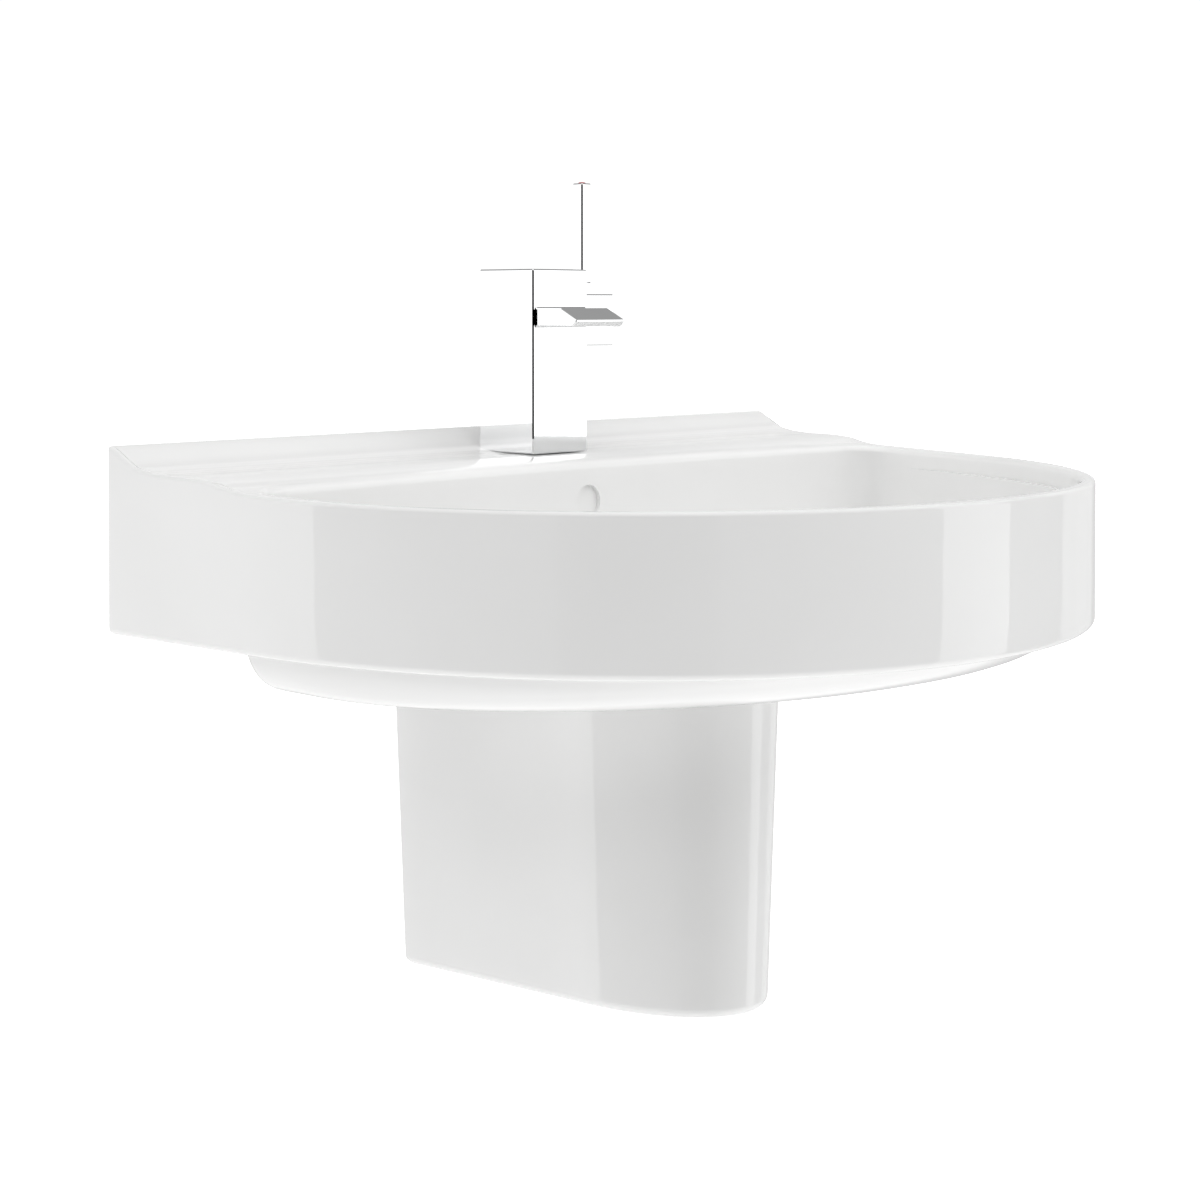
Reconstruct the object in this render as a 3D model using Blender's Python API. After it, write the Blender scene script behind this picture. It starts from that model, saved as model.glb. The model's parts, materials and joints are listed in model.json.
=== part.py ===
"""Wall-hung washbasin on a semi-pedestal, with a square monobloc mixer, click waste and bottle trap.

Frame: metres, +Z up. The origin lies on the wall plane, on the centre line, midway between the two
fixing studs. The wall is the plane y = 0, +Y points into it, and the user stands at -Y.
"""
from math import cos, pi, radians, sin, sqrt

import bmesh
import bpy
from mathutils import Matrix, Vector

# ---------------------------------------------------------------- driving dimensions (metres)
GAP = 0.0003                     # clearance between pieces that touch
STEPS = 16                       # facets round a small turned piece
FINE_STEPS = 24                  # facets round a large or visible one
NUT_STEPS = 12                   # points round a nut's hexagon and its bore

# basin
HALF_WIDTH = 0.300               # at the wall
FRONT_HALF_WIDTH = 0.2962        # where the straight sides meet the round front
SIDE_LENGTH = 0.1155
FRONT_BULGE = 0.3213
SKIRT_Z = -0.050
RIM_Z = 0.0381
DECK_Z = 0.0463
UPSTAND_Z = 0.062
SKIRT_WALL = 0.011
BACK_WALL = 0.012
RIM_THICKNESS = 0.014
DECK_THICKNESS = 0.013
PAN_Z = -0.074                   # underside of the pan that hangs below the skirt
FLOOR_Z = -0.058                 # bowl floor at its edge
DRAIN_Z = -0.060                 # bowl floor at the waste
BOWL_STEPS = 36                  # facets round the bowl's front
BOWL_POWER = 2.6                 # fullness of the bowl's wall section, 2 is an ellipse
PAN_POWER = 4.0                  # the same for the bowl's outside, which is squarer
STUD_X = 0.140                   # wall fixing studs, each side of the centre
STUD_HOLE_R = 0.007

# waste and overflow
DRAIN_Y = -0.195
DRAIN_HOLE_R = 0.023
FLANGE_R = 0.0315
FLANGE_RECESS = 0.0045
THREAD_R = 0.0209                # G1 1/4 waste thread
OVERFLOW_R = 0.011
OVERFLOW_Z = 0.0158
DUCT_HALF = 0.016                # half width of the overflow passage

# semi-pedestal
PED_TOP_Z = PAN_Z - 2 * GAP
PED_BOTTOM_Z = -0.2946           # at the wall, rising slightly to the front
PED_RISE = 0.0178                # rise of the bottom edge per metre towards the front
PED_HALF = 0.0676                # half width at the wall, bottom
PED_FLARE = 0.0456               # extra half width per metre of height
PED_TAPER = 0.853                # half width at the end of the flat side over that at the wall
PED_SIDE = 0.1477
PED_BULGE = 0.0983
PED_BULGE_FLARE = 0.0305
PED_WALL = 0.009
PED_STUD_X = 0.045
PED_STUD_Z = -0.150

# trap
PIPE_R = 0.016
PIPE_WALL = 0.0012
OUTLET_Z = -0.186
BOTTLE_R = 0.027

# mixer
TAP_Y = -0.054
TAP_HALF = 0.0255
TAP_BASE_Z = DECK_Z + 0.0017
TAP_TOP_Z = 0.1677
TAP_HOLE_R = 0.0175
SPOUT_HALF = 0.023
SPOUT_TOP_Z = 0.1421
SPOUT_BOTTOM_Z = 0.1301
SPOUT_TIP_Y = -0.1168
WATERWAY_HALF = 0.0165
WATERWAY_FRONT_Y = -0.1085
WATERWAY_LOW_Z = 0.1345
WATERWAY_HIGH_Z = 0.1395
AERATOR_HALF = 0.0182
AERATOR_FRONT_Y = -0.1092
AERATOR_BACK_Y = -0.0988
AERATOR_TOP_Z = SPOUT_BOTTOM_Z + 0.0046
AERATOR_FIT = 0.0003
AERATOR_SLOTS = 7
AERATOR_PITCH = 0.0048
AERATOR_SLOT_HALF = 0.0015
HOUSING_TOP_Z = 0.1513
HOUSING_SIZE = 0.0346
HOUSING_END_X = 0.060
LEVER_X = 0.0466
LEVER_HALF = 0.00475
LEVER_FOOT_Z = 0.159
LEVER_TOP_Z = 0.2267
PIVOT_Z = 0.141                  # centre of the joystick's ball


# ---------------------------------------------------------------- materials
def make_material(name, colour, roughness, metallic=0.0):
    material = bpy.data.materials.new(name)
    material.use_nodes = True
    shader = material.node_tree.nodes["Principled BSDF"]
    shader.inputs["Base Color"].default_value = (*colour, 1.0)
    shader.inputs["Roughness"].default_value = roughness
    shader.inputs["Metallic"].default_value = metallic
    material.diffuse_color = (*colour, 1.0)
    return material


FINISHES = {
    "ceramic": ((0.86, 0.86, 0.85), 0.08, 0.0),
    "chrome": ((0.80, 0.81, 0.82), 0.05, 1.0),
    "brass": ((0.74, 0.58, 0.30), 0.30, 1.0),
    "steel": ((0.62, 0.62, 0.63), 0.32, 1.0),
    "rubber": ((0.035, 0.035, 0.035), 0.75, 0.0),
    "plastic": ((0.80, 0.80, 0.78), 0.40, 0.0),
    "red": ((0.55, 0.02, 0.03), 0.30, 0.0),
}


# ---------------------------------------------------------------- mesh helpers
def add_object(name, mesh_builder, finish=None, smooth=True):
    """Turn a bmesh into an object; without a finish it is a cutter or a guide."""
    bmesh.ops.recalc_face_normals(mesh_builder, faces=mesh_builder.faces)
    mesh = bpy.data.meshes.new(name)
    mesh_builder.to_mesh(mesh)
    mesh_builder.free()
    part = bpy.data.objects.new(name, mesh)
    bpy.context.scene.collection.objects.link(part)
    if finish is None:
        part.hide_render = True
        part.display_type = "WIRE"
        return part
    mesh.materials.append(make_material(name, *FINISHES[finish]))
    if smooth:
        mesh.shade_smooth()
        mesh.set_sharp_from_angle(angle=radians(35))
    return part


def loft(rings):
    """Closed solid through rings of equal count, with flat caps on the first and last ring."""
    builder = bmesh.new()
    rows = [[builder.verts.new(point) for point in ring] for ring in rings]
    count = len(rows[0])
    for low, high in zip(rows, rows[1:]):
        for i in range(count):
            j = (i + 1) % count
            builder.faces.new((low[i], low[j], high[j], high[i]))
    builder.faces.new(rows[0])
    builder.faces.new(rows[-1])
    return builder


def prism(outline, low, high, axis="Z"):
    """Extrude a 2-D outline between two heights: (x, y) along Z, (y, z) along X or (x, z) along Y."""
    place = {
        "Z": lambda a, b, h: (a, b, h),
        "X": lambda a, b, h: (h, a, b),
        "Y": lambda a, b, h: (a, h, b),
    }[axis]
    return loft([[place(a, b, height) for a, b in outline] for height in (low, high)])


def box(low, high):
    outline = [(low[0], low[1]), (high[0], low[1]), (high[0], high[1]), (low[0], high[1])]
    return prism(outline, low[2], high[2])


def circle(radius, centre=(0.0, 0.0), segments=STEPS):
    steps = [2 * pi * (i + 0.5) / segments for i in range(segments)]
    return [(centre[0] + radius * cos(t), centre[1] + radius * sin(t)) for t in steps]


def hexagon(across_flats):
    """Hexagon outline sampled at regular angles, so it pairs with a circle of the same count."""
    points = []
    for i in range(NUT_STEPS):
        t = 2 * pi * i / NUT_STEPS
        face = (t + pi / 6) % (pi / 3) - pi / 6
        radius = across_flats / 2 / cos(face)
        points.append((radius * cos(t), radius * sin(t)))
    return points


AXIS_TURN = {
    "Z": Matrix.Identity(3),
    "X": Matrix(((0, 0, 1), (1, 0, 0), (0, 1, 0))),
    "Y": Matrix(((0, 1, 0), (0, 0, 1), (1, 0, 0))),
}


def turned(profile, centre, axis="Z", segments=STEPS):
    """Solid of revolution. A profile of (radius, height) points is a closed loop off the axis; if
    it starts and ends at radius 0 it is a solid bar instead."""
    turn = AXIS_TURN[axis]
    builder = bmesh.new()
    origin = Vector(centre)
    rows = []
    for radius, height in profile:
        if radius == 0.0:
            rows.append([builder.verts.new(origin + turn @ Vector((0, 0, height)))])
            continue
        steps = [2 * pi * (i + 0.5) / segments for i in range(segments)]
        rows.append([
            builder.verts.new(origin + turn @ Vector((radius * cos(t), radius * sin(t), height))) for t in steps
        ])
    solid_bar = profile[0][0] == 0.0
    pairs = list(zip(rows, rows[1:])) + ([] if solid_bar else [(rows[-1], rows[0])])
    for low, high in pairs:
        for i in range(segments):
            j = (i + 1) % segments
            corners = [low[i % len(low)], low[j % len(low)], high[j % len(high)], high[i % len(high)]]
            builder.faces.new(list(dict.fromkeys(corners)))
    return builder


def ring_profile(inner, outer, low, high):
    return [(outer, high), (outer, low), (inner, low), (inner, high)]


def hex_ring(across_flats, bore, centre, low, high, axis="Z"):
    """Hexagonal nut with a plain bore; bore is the radius to the bore's flats."""
    turn = AXIS_TURN[axis]
    origin = Vector(centre)
    outer = hexagon(across_flats)
    corner = bore / cos(pi / NUT_STEPS)
    steps = [2 * pi * i / NUT_STEPS for i in range(NUT_STEPS)]
    inner = [(corner * cos(t), corner * sin(t)) for t in steps]
    builder = bmesh.new()
    rows = []
    for outline, height in ((outer, high), (outer, low), (inner, low), (inner, high)):
        rows.append([builder.verts.new(origin + turn @ Vector((a, b, height))) for a, b in outline])
    for low_row, high_row in zip(rows, rows[1:] + rows[:1]):
        for i in range(NUT_STEPS):
            j = (i + 1) % NUT_STEPS
            builder.faces.new((low_row[i], low_row[j], high_row[j], high_row[i]))
    return builder


def boolean(part, other, operation):
    modifier = part.modifiers.new(f"{operation.lower()}_{other.name}", "BOOLEAN")
    modifier.operation = operation
    modifier.object = other
    modifier.solver = "EXACT"


def cut(part, name, mesh_builder):
    boolean(part, add_object(name, mesh_builder), "DIFFERENCE")


def fuse(part, name, mesh_builder):
    boolean(part, add_object(name, mesh_builder), "UNION")


# ---------------------------------------------------------------- basin
def d_outline(half, end_half, side_end, bulge, back=0.0, front_steps=40):
    """D-shaped plan: a straight back, straight sides and a half-ellipse front."""
    points = [(half, back)]
    for i in range(front_steps + 1):
        t = pi * i / front_steps
        points.append((end_half * cos(t), -side_end - bulge * sin(t)))
    points.append((-half, back))
    return points


def bowl_ring(half, side_end, front, back, corner, z, bow=0.008):
    """Plan of the bowl at one level: round front, straight sides, rounded back corners, bowed back."""
    points = []
    for i in range(BOWL_STEPS + 1):
        t = pi * i / BOWL_STEPS
        points.append((half * cos(t), side_end - (side_end - front) * sin(t)))
    if side_end < back - corner:
        points.append((-half, back - corner))
    for i in range(1, 6):
        t = pi - (pi / 2) * i / 5
        points.append((-half + corner + corner * cos(t), back - corner + corner * sin(t)))
    for i in range(1, 8):
        points.append((-(half - corner) + 2 * (half - corner) * i / 8, back))
    for i in range(0, 5):
        t = pi / 2 - (pi / 2) * i / 5
        points.append((half - corner + corner * cos(t), back - corner + corner * sin(t)))
    if side_end < back - corner:
        points.append((half, back - corner))
    ring = []
    for x, y in points:
        weight = min(1.0, max(0.0, (y - side_end) / (back - side_end)))
        ring.append((x, y - bow * (x / half) ** 2 * weight, z))
    return ring


BOWL_INSIDE = {
    "top": (0.2835, -0.140, -0.4243, -0.105, 0.030),
    "base": (0.238, -0.165, -0.288, -0.128, 0.034),
}
BOWL_OUTSIDE = {
    "top": (0.2910, -0.140, -0.4320, -0.093, 0.014),
    "base": (0.250, -0.160, -0.300, -0.112, 0.018),
}


def bowl_rings(shape, top_z, base_z, steps, power):
    """Rings down the bowl's wall: upright at the rim and level at the floor."""
    rings = []
    for i in range(steps + 1):
        t = (pi / 2) * i / steps
        inset = 1 - cos(t) ** (2 / power) if i < steps else 1.0
        depth = sin(t) ** (2 / power)
        size = [a + (b - a) * inset for a, b in zip(shape["top"], shape["base"])]
        rings.append(bowl_ring(*size, top_z + (base_z - top_z) * depth))
    return rings


def side_profile():
    """Basin seen from the side, (y, z): upstand at the wall, tap deck, step down to the rim."""
    deep = -SIDE_LENGTH - FRONT_BULGE - 0.05
    return [
        (0.0, SKIRT_Z), (deep, SKIRT_Z), (deep, RIM_Z),
        (-0.1180, RIM_Z), (-0.1125, RIM_Z + 0.0010), (-0.1065, RIM_Z + 0.0035),
        (-0.1010, DECK_Z - 0.0020), (-0.0950, DECK_Z - 0.0004), (-0.0900, DECK_Z),
        (-0.0295, DECK_Z), (-0.0265, DECK_Z + 0.0008), (-0.0235, DECK_Z + 0.0030),
        (-0.0085, UPSTAND_Z - 0.0020), (-0.0055, UPSTAND_Z - 0.0004),
        (-0.0030, UPSTAND_Z), (0.0, UPSTAND_Z),
    ]


def make_basin():
    outline = d_outline(HALF_WIDTH, FRONT_HALF_WIDTH, SIDE_LENGTH, FRONT_BULGE)
    basin = add_object("basin", prism(outline, SKIRT_Z, UPSTAND_Z + 0.02), "ceramic")
    profile = add_object("basin_side_profile", prism(side_profile(), -0.4, 0.4, axis="X"))
    boolean(basin, profile, "INTERSECT")

    inner = d_outline(HALF_WIDTH - SKIRT_WALL, FRONT_HALF_WIDTH - SKIRT_WALL, SIDE_LENGTH,
                      FRONT_BULGE - SKIRT_WALL, back=-BACK_WALL)
    cut(basin, "hollow_under_rim", prism(inner, SKIRT_Z - 0.02, RIM_Z - RIM_THICKNESS))
    deck_hollow = box((-0.285, -0.090, SKIRT_Z - 0.02), (0.285, -BACK_WALL, DECK_Z - DECK_THICKNESS))
    cut(basin, "hollow_under_deck", deck_hollow)

    fuse(basin, "bowl_outside", loft(bowl_rings(BOWL_OUTSIDE, RIM_Z - 0.002, PAN_Z, 9, PAN_POWER)))
    duct = box((-DUCT_HALF - 0.006, -0.106, PAN_Z), (DUCT_HALF + 0.006, -0.0785, OVERFLOW_Z + 0.017))
    fuse(basin, "overflow_duct", duct)

    rings = bowl_rings(BOWL_INSIDE, RIM_Z, FLOOR_Z, 9, BOWL_POWER)
    rings.insert(0, [(x, y, UPSTAND_Z + 0.03) for x, y, z in rings[0]])
    cavity = loft(rings)
    cavity.faces.ensure_lookup_table()
    floor = cavity.faces[-1]
    bmesh.ops.poke(cavity, faces=[floor])
    cavity.verts.ensure_lookup_table()
    cavity.verts[-1].co = (0.0, DRAIN_Y, DRAIN_Z)
    cut(basin, "bowl_inside", cavity)

    cut(basin, "waste_hole", turned([
        (0, DRAIN_Z + 0.01), (0.033, DRAIN_Z + 0.01), (0.033, DRAIN_Z - FLANGE_RECESS),
        (DRAIN_HOLE_R, DRAIN_Z - FLANGE_RECESS), (DRAIN_HOLE_R, PAN_Z - 0.01), (0, PAN_Z - 0.01),
    ], (0, DRAIN_Y, 0), segments=FINE_STEPS))
    passage = prism([(-0.1000, OVERFLOW_Z + 0.0125), (-0.0835, OVERFLOW_Z + 0.0125),
                     (-0.0835, PAN_Z + 0.0022),
                     (DRAIN_Y, PAN_Z + 0.0022), (DRAIN_Y, PAN_Z + 0.0068), (-0.0945, PAN_Z + 0.0068),
                     (-0.0945, OVERFLOW_Z - 0.02), (-0.1000, OVERFLOW_Z - 0.012)],
                    -DUCT_HALF, DUCT_HALF, axis="X")
    cut(basin, "overflow_passage", passage)
    overflow = turned([(0, -0.130), (OVERFLOW_R, -0.130), (OVERFLOW_R, -0.090), (0, -0.090)],
                      (0, 0, OVERFLOW_Z), axis="Y")
    cut(basin, "overflow_hole", overflow)
    cut(basin, "tap_hole", prism(circle(TAP_HOLE_R, (0, TAP_Y)), DECK_Z - 0.03, DECK_Z + 0.01))
    for side, sign in (("left", -1), ("right", 1)):
        hole = prism(circle(STUD_HOLE_R, (sign * STUD_X, 0)), -0.03, 0.01, axis="Y")
        cut(basin, f"stud_hole_{side}", hole)
    return basin


# ---------------------------------------------------------------- semi-pedestal
def pedestal_outline(z, inset=0.0, back=0.0):
    height = z - (PED_BOTTOM_Z - 0.0014)
    half = PED_HALF + PED_FLARE * height - inset
    end_half = half * PED_TAPER
    bulge = PED_BULGE + PED_BULGE_FLARE * height - inset
    return [(x, y, z) for x, y in d_outline(half, end_half, PED_SIDE, bulge, back, front_steps=26)]


def make_pedestal():
    pedestal = add_object(
        "semi_pedestal", loft([pedestal_outline(PED_BOTTOM_Z - 0.01), pedestal_outline(PED_TOP_Z)]), "ceramic")
    deep = -0.30
    slope = [(0.05, PED_BOTTOM_Z - 0.05), (0.05, PED_BOTTOM_Z - PED_RISE * 0.05),
             (deep, PED_BOTTOM_Z - PED_RISE * deep), (deep, PED_BOTTOM_Z - 0.05)]
    cut(pedestal, "pedestal_foot_slope", prism(slope, -0.2, 0.2, axis="X"))
    inside = loft([
        pedestal_outline(PED_BOTTOM_Z + PED_WALL + 0.004, PED_WALL, 0.02),
        pedestal_outline(PED_TOP_Z + 0.01, PED_WALL, 0.02),
    ])
    cut(pedestal, "pedestal_inside", inside)
    for side, sign in (("left", -1), ("right", 1)):
        xs = sorted((sign * 0.033, sign * 0.068))
        lug = box((xs[0], -0.014, PED_STUD_Z - 0.018), (xs[1], -0.002, PED_STUD_Z + 0.018))
        fuse(pedestal, f"pedestal_lug_{side}", lug)
        hole = prism(circle(0.0055, (sign * PED_STUD_X, PED_STUD_Z)), -0.03, 0.01, axis="Y")
        cut(pedestal, f"pedestal_hole_{side}", hole)
    return pedestal


# ---------------------------------------------------------------- wall fixings
def make_wall_fixing(prefix, side, x, z, radius, seat_y, reach, depth, across_flats):
    """Stud to a depth in the wall, plastic bush in the ceramic, washer and nut, all along Y."""
    centre = (x, 0, z)
    end_y = seat_y - reach
    stud = [(0, end_y), (radius - 0.0007, end_y), (radius, end_y + 0.0010), (radius, depth * 0.67),
            (radius * 0.35, depth * 0.93), (0, depth)]
    add_object(f"{prefix}_stud_{side}", turned(stud, centre, "Y"), "steel")
    flange = seat_y - GAP - 0.003
    bush = [(radius * 2.6, flange), (radius + GAP, flange), (radius + GAP, -0.0015),
            (radius + 0.0013, -0.0015),
            (radius + 0.0013, seat_y - GAP), (radius * 2.6, seat_y - GAP)]
    add_object(f"{prefix}_bush_{side}", turned(bush, centre, "Y"), "plastic")
    washer = ring_profile(radius + GAP, radius * 2.2, flange - GAP - 0.002, flange - GAP)
    add_object(f"{prefix}_washer_{side}", turned(washer, centre, "Y"), "steel")
    nut_top = flange - 2 * GAP - 0.002
    nut = hex_ring(across_flats, radius + GAP, centre, nut_top - radius * 1.6, nut_top, "Y")
    add_object(f"{prefix}_nut_{side}", nut, "steel")


# ---------------------------------------------------------------- waste
def make_waste():
    centre = (0, DRAIN_Y, 0)
    top = DRAIN_Z
    end = -0.127
    bore = 0.0175
    body = add_object("waste_body", turned([
        (bore + 0.0030, top), (FLANGE_R - 0.0008, top), (FLANGE_R, top - 0.0010), (FLANGE_R, top - 0.0024),
        (THREAD_R, top - 0.0024), (THREAD_R, end), (bore, end), (bore, top - 0.0030),
    ], centre, segments=FINE_STEPS), "chrome")
    slot = box((-0.03, DRAIN_Y - 0.006, PAN_Z + 0.0018), (0.03, DRAIN_Y + 0.006, PAN_Z + 0.0068))
    cut(body, "overflow_slots", slot)
    back_slot = box((-0.006, DRAIN_Y, PAN_Z + 0.0018), (0.006, DRAIN_Y + 0.03, PAN_Z + 0.0068))
    cut(body, "overflow_slot_back", back_slot)

    bore_r = THREAD_R + GAP
    rings = (
        ("waste_seal_upper", "rubber", 0.030, top - 0.0043, top - 0.0027),
        ("waste_seal_lower", "rubber", 0.031, PAN_Z - GAP - 0.006, PAN_Z - GAP),
        ("waste_washer", "plastic", 0.031, PAN_Z - 0.0086, PAN_Z - 0.0066),
    )
    for name, finish, outer, low, high in rings:
        add_object(name, turned(ring_profile(bore_r, outer, low, high), centre, segments=FINE_STEPS), finish)
    nut = hex_ring(0.052, bore_r, centre, PAN_Z - 0.0169, PAN_Z - 0.0089)
    add_object("waste_back_nut", nut, "brass")

    # click mechanism: a hub held across the waste by a cross-bar
    hub = add_object("click_mechanism", turned(
        ring_profile(0.0035, 0.0070, -0.118, -0.090), centre), "plastic")
    bars = (("bar_left", -0.0172, -0.005), ("bar_right", 0.005, 0.0172))
    for name, low_x, high_x in bars:
        fuse(hub, f"click_{name}", box((low_x, DRAIN_Y - 0.0015, -0.110), (high_x, DRAIN_Y + 0.0015, -0.100)))


def make_plug():
    """Click plug: it lifts straight up; the cap, its seal and its stem move together."""
    centre = (0, DRAIN_Y, 0)
    low = DRAIN_Z + GAP
    cap = [(0, low + 0.0046), (0.010, low + 0.0044), (0.020, low + 0.0036), (0.0265, low + 0.0024),
           (0.0290, low + 0.0008), (0.0288, low), (0.0035, low), (0.0035, low + 0.0024), (0, low + 0.0024)]
    add_object("plug_cap", turned(cap, centre, segments=FINE_STEPS), "chrome")
    seal = [(0.0165, low - GAP), (0.0172, low - 0.0025), (0.0150, low - 0.0045), (0.0036, low - 0.0045),
            (0.0036, low - GAP)]
    add_object("plug_seal", turned(seal, centre, segments=FINE_STEPS), "rubber")
    stem = [(0, low + 0.0021), (0.0031, low + 0.0021), (0.0031, -0.1140), (0.0022, -0.1165), (0, -0.1165)]
    add_object("plug_stem", turned(stem, centre), "brass")


# ---------------------------------------------------------------- bottle trap
def make_trap():
    centre = (0, DRAIN_Y, 0)
    nut = [(0.0245, -0.119), (0.0245, -0.139), (0.0225, -0.141), (PIPE_R + GAP, -0.141),
           (PIPE_R + GAP, -0.1335), (THREAD_R + GAP, -0.1335), (THREAD_R + GAP, -0.119)]
    add_object("trap_inlet_nut", turned(nut, centre, segments=FINE_STEPS), "chrome")
    washer = ring_profile(PIPE_R - 0.0015, 0.0200, -0.1293, -0.1273)
    add_object("trap_inlet_washer", turned(washer, centre), "rubber")
    tube = [(0.0200, -0.1296), (0.0200, -0.1330), (PIPE_R, -0.1332), (PIPE_R, -0.2350),
            (PIPE_R - PIPE_WALL, -0.2350), (PIPE_R - PIPE_WALL, -0.1296)]
    add_object("trap_dip_tube", turned(tube, centre), "chrome")

    neck_top = -0.158
    top_nut = [(0.0225, -0.150), (0.0235, -0.152), (0.0235, -0.166), (0.0203, -0.166), (0.0203, -0.1535),
               (PIPE_R + GAP, -0.1535), (PIPE_R + GAP, -0.150)]
    add_object("trap_top_nut", turned(top_nut, centre, segments=FINE_STEPS), "chrome")
    seal = [(0.0198, -0.1538), (0.0198, neck_top + GAP), (PIPE_R + GAP, neck_top + GAP),
            (PIPE_R + GAP, -0.1538)]
    add_object("trap_top_seal", turned(seal, centre), "rubber")

    body = add_object("trap_body", turned([
        (0.0200, neck_top), (0.0200, -0.1665), (0.0245, -0.1690), (BOTTLE_R, -0.1720), (BOTTLE_R, -0.2140),
        (BOTTLE_R - 0.0025, -0.2140), (BOTTLE_R - 0.0025, -0.1735), (0.0225, -0.1710),
        (PIPE_R + GAP, -0.1690),
        (PIPE_R + GAP, neck_top),
    ], centre, segments=FINE_STEPS), "chrome")
    outer = turned([(0, DRAIN_Y + 0.0255), (0.0190, DRAIN_Y + 0.0255), (0.0190, -0.142), (0, -0.142)],
                   (0, 0, OUTLET_Z), "Y")
    fuse(body, "trap_outlet_socket", outer)
    bore = turned([(0, DRAIN_Y + 0.0185), (0.0164, DRAIN_Y + 0.0185), (0.0164, -0.130), (0, -0.130)],
                  (0, 0, OUTLET_Z), "Y")
    cut(body, "trap_outlet_bore", bore)

    cup_r = 0.0305
    cup = [(0, -0.262), (0.0235, -0.262), (0.0280, -0.2595), (0.0295, -0.2550), (0.0295, -0.2150),
           (cup_r, -0.2140), (cup_r, -0.2065), (BOTTLE_R + GAP, -0.2065), (BOTTLE_R + GAP, -0.2170),
           (0.0245, -0.2170), (0.0245, -0.2550), (0.0225, -0.2590), (0, -0.2590)]
    add_object("trap_cup", turned(cup, centre, segments=FINE_STEPS), "chrome")
    cup_seal = ring_profile(0.0247, 0.0268, -0.2167, -0.2143)
    add_object("trap_cup_seal", turned(cup_seal, centre), "rubber")

    axis = (0, 0, OUTLET_Z)
    outlet_nut = [(0.0225, -0.1540), (0.0225, -0.1350), (0.0210, -0.1330), (PIPE_R + GAP, -0.1330),
                  (PIPE_R + GAP, -0.1362), (0.0193, -0.1362), (0.0193, -0.1540)]
    add_object("trap_outlet_nut", turned(outlet_nut, axis, "Y", FINE_STEPS), "chrome")
    outlet_seal = ring_profile(PIPE_R + GAP, 0.0188, -0.1417, -0.1365)
    add_object("trap_outlet_seal", turned(outlet_seal, axis, "Y"), "rubber")
    pipe = ring_profile(PIPE_R - PIPE_WALL, PIPE_R, -0.1600, 0.0400)
    add_object("outlet_pipe", turned(pipe, axis, "Y"), "chrome")
    rose = [(0.0330, -0.0006), (0.0330, -0.0030), (0.0290, -0.0075), (0.0200, -0.0110),
            (PIPE_R + GAP, -0.0120),
            (PIPE_R + GAP, -0.0105), (0.0195, -0.0090), (0.0280, -0.0055), (0.0312, -0.0020),
            (0.0312, -0.0006)]
    add_object("wall_rose", turned(rose, axis, "Y", FINE_STEPS), "chrome")


# ---------------------------------------------------------------- mixer
def square(half_x, half_y, centre=(0.0, 0.0), corner=0.0006):
    """Square outline with small chamfered corners."""
    cx, cy = centre
    points = []
    for sx, sy in ((1, 1), (-1, 1), (-1, -1), (1, -1)):
        a = (cx + sx * (half_x - corner), cy + sy * half_y)
        b = (cx + sx * half_x, cy + sy * (half_y - corner))
        points += [b, a] if sx * sy > 0 else [a, b]
    return points


def chamfered_block(half_x, half_y, centre, low, high, corner=0.0006):
    """Upright square block whose long edges and end edges all have the same small chamfer."""
    full = square(half_x, half_y, centre, corner)
    small = square(half_x - corner, half_y - corner, centre, corner)
    levels = ((small, low), (full, low + corner), (full, high - corner), (small, high))
    return loft([[(x, y, z) for x, y in outline] for outline, z in levels])


def make_tap_body():
    body = add_object(
        "tap_body", chamfered_block(TAP_HALF, TAP_HALF, (0, TAP_Y), TAP_BASE_Z, TAP_TOP_Z), "chrome")
    front = TAP_Y - TAP_HALF
    spout = prism([
        (front + 0.004, SPOUT_TOP_Z), (-0.1007, SPOUT_TOP_Z), (SPOUT_TIP_Y, SPOUT_TOP_Z - 0.0080),
        (SPOUT_TIP_Y + 0.0040, SPOUT_BOTTOM_Z), (front + 0.004, SPOUT_BOTTOM_Z),
    ], -SPOUT_HALF, SPOUT_HALF, axis="X")
    fuse(body, "tap_spout", spout)
    cut(body, "tap_pocket", turned([(0, 0.062), (0.019, 0.062), (0.019, 0.150), (0, 0.150)], (0, TAP_Y, 0)))
    cut(body, "spout_waterway", box(
        (-WATERWAY_HALF, WATERWAY_FRONT_Y, WATERWAY_LOW_Z), (WATERWAY_HALF, TAP_Y - 0.010, WATERWAY_HIGH_Z)))
    cut(body, "aerator_seat", box(
        (-AERATOR_HALF - AERATOR_FIT, AERATOR_FRONT_Y - AERATOR_FIT, SPOUT_BOTTOM_Z - 0.0051),
        (AERATOR_HALF + AERATOR_FIT, AERATOR_BACK_Y + AERATOR_FIT, AERATOR_TOP_Z + AERATOR_FIT)))
    port = turned([(0, 0.010), (0.005, 0.010), (0.005, 0.040), (0, 0.040)], (0, TAP_Y, 0.134), "X")
    cut(body, "tap_side_port", port)
    cut(body, "stud_thread", prism(circle(0.0043, (0, TAP_Y - 0.010)), 0.040, 0.0605))
    for name, x in (("hot", -0.0085), ("cold", 0.0085)):
        cut(body, f"{name}_port", prism(circle(0.0056, (x, TAP_Y + 0.005)), 0.040, 0.070))


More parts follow.
